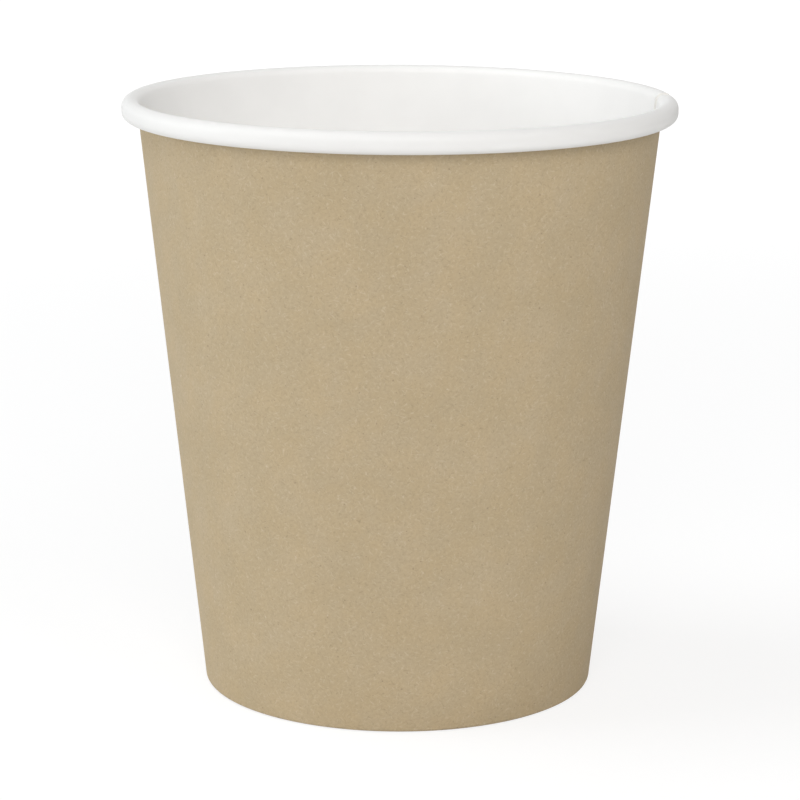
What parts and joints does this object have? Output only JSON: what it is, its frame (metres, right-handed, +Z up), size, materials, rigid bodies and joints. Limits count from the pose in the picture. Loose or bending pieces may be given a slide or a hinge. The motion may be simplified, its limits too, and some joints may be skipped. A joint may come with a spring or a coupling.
{
  "type": "single-wall paper cup for hot drinks",
  "caption": "Tapered paper cup with a rolled rim, a lapped side seam, a turned-in foot and a drawn bottom panel held in it.",
  "frame": {"origin": "on the cup's axis, in the plane of the foot that the cup stands on", "axes": "+Z up along the cup's axis, -Y towards the front as pictured, +X towards the side that carries the seam"},
  "size_m": [0.08, 0.08, 0.0865],
  "materials": {
    "wall_board": "matt natural brown board outside, smooth white coating inside and over the rolled rim",
    "panel_board": "smooth white coating above, plain white board below"
  },
  "bodies": {
    "root": {"cup_wall": "wall_board", "bottom_panel": "panel_board"}
  },
  "joints": []
}
